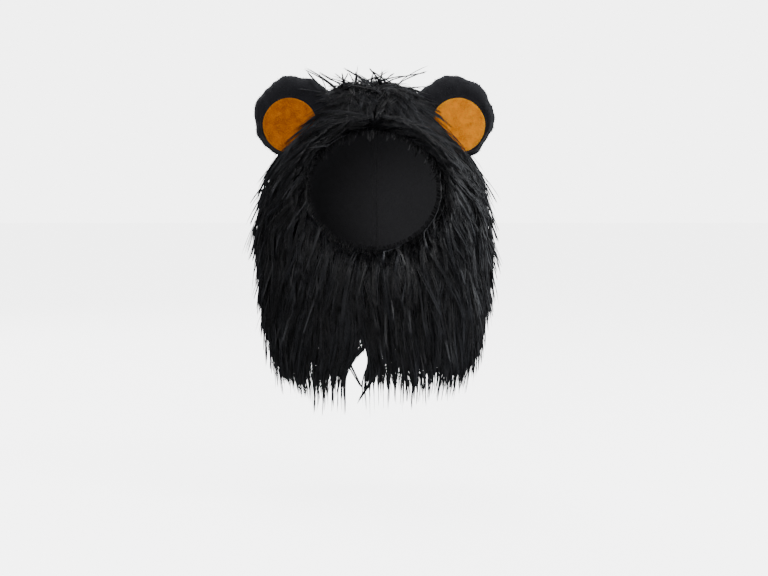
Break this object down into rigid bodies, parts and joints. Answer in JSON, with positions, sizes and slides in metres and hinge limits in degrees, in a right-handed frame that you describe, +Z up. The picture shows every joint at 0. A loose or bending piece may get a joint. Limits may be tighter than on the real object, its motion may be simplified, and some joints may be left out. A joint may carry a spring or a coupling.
{
  "type": "lion mane pet wig",
  "caption": "Soft hood for a cat's head covered in long black fur, with a bib of locks, padded round ears with orange felt discs and a throat band.",
  "frame": {"origin": "the highest point inside the hood, which rests on top of the wearer's head", "axes": "+Z up, the wearer faces -Y, and the wearer's left is +X"},
  "size_m": [0.1737, 0.1424, 0.234],
  "materials": {
    "hood_cloth": "black knitted backing cloth, matt",
    "black_fur": "long black faux fur with a soft gloss along the strands",
    "ear_fleece": "short black plush, matt",
    "orange_felt": "mottled orange wool felt with a paler cut edge",
    "tab_tape": "black hook and loop tape"
  },
  "bodies": {
    "root": {"hood": "hood_cloth", "mane": "black_fur", "ear_left": "ear_fleece", "ear_right": "ear_fleece", "ear_left_patch": "orange_felt", "ear_right_patch": "orange_felt", "chin_tab": "tab_tape"}
  },
  "joints": []
}
